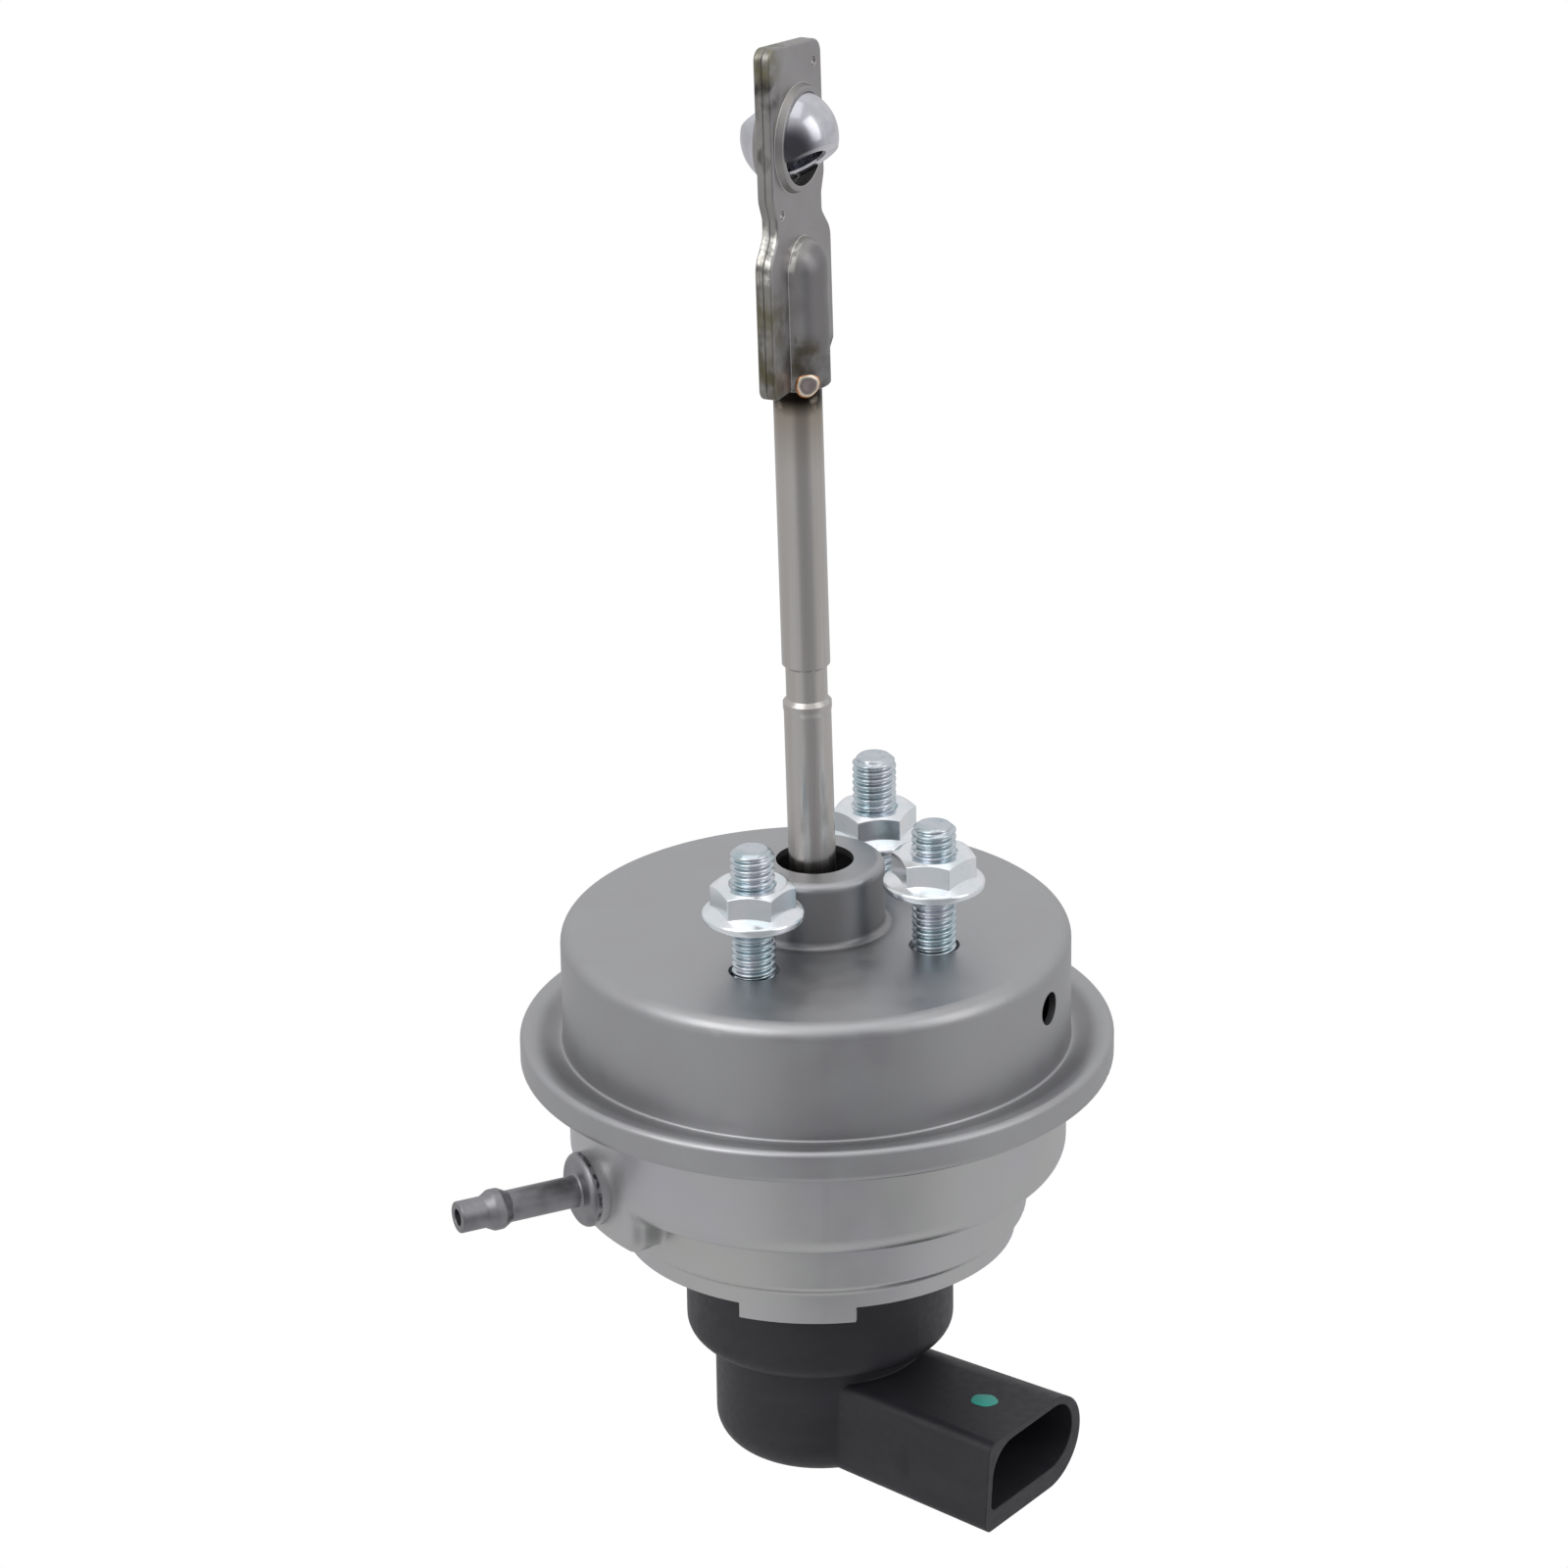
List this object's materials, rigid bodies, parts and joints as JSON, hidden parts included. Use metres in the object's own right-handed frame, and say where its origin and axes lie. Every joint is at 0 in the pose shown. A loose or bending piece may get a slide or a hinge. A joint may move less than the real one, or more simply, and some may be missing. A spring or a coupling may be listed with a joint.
{
  "type": "wastegate actuator",
  "caption": "Vacuum wastegate actuator: crimped steel diaphragm can with studs, ball-ended push rod, hose nipple and black position sensor with plug socket.",
  "frame": {"origin": "Centre of the flat top face of the drum, on the can axis, in the plane that the mounting bracket sits on.", "axes": "+Z along the can axis, towards the push rod's free end; +X on the side on which the electrical connector sticks out, which is turned 8.2 degrees from it towards +Y; +Y completes the right-handed frame."},
  "size_m": [0.0814, 0.0922, 0.2033],
  "materials": {
    "can_steel": "satin, lightly passivated zinc",
    "zinc_plate": "bright blue-white zinc",
    "rod_steel": "satin stainless",
    "clevis_steel": "satin",
    "ball_steel": "polished",
    "spring_steel": "satin",
    "black_plastic": "matte",
    "natural_plastic": "matte",
    "chip_plastic": "matte",
    "board_laminate": "semi-gloss",
    "black_rubber": "matte",
    "tinned_brass": "bright tin",
    "magnet_ferrite": "matte"
  },
  "bodies": {
    "can": {"upper_can": "can_steel", "stud_plate": "can_steel", "mounting_studs": "zinc_plate", "flange_nuts": "zinc_plate", "lower_can": "can_steel", "hose_nipple": "can_steel", "diaphragm": "black_rubber", "return_spring": "spring_steel", "spring_seat": "can_steel", "sensor_housing": "black_plastic", "housing_seal": "black_rubber", "sensor_board": "board_laminate", "sensor_chip": "chip_plastic", "connector_pins": "tinned_brass"},
    "piston": {"diaphragm_plate": "can_steel", "piston_cup": "can_steel", "piston_hub": "rod_steel", "piston_nut": "zinc_plate", "magnet_carrier": "natural_plastic", "sensor_magnet": "magnet_ferrite"},
    "rod": {"piston_rod": "rod_steel", "rod_sleeve": "rod_steel", "front_clevis_plate": "clevis_steel", "rear_clevis_plate": "clevis_steel", "weld_spots": "clevis_steel"},
    "ball": {"bearing_ball": "ball_steel"}
  },
  "joints": [
    {"name": "piston_slide", "type": "slide", "parent": "can", "child": "piston", "axis": [0, 0, 1], "range_m": [-0.011, 0], "stiffness_N_per_m": 2500, "springref_m": 0.022, "deforming": ["return_spring", "diaphragm"]},
    {"name": "rod_swing", "type": "hinge", "parent": "piston", "child": "rod", "pos_m": [0, 0, -0.0108], "axis": [0.6884, -0.7254, 0], "range_deg": [-4, 2]},
    {"name": "ball_swivel", "type": "hinge", "parent": "rod", "child": "ball", "pos_m": [-0.00154, -0.00146, 0.11068], "axis": [0.2994, -0.9093, 0.2889], "range_deg": [0, 70]}
  ]
}
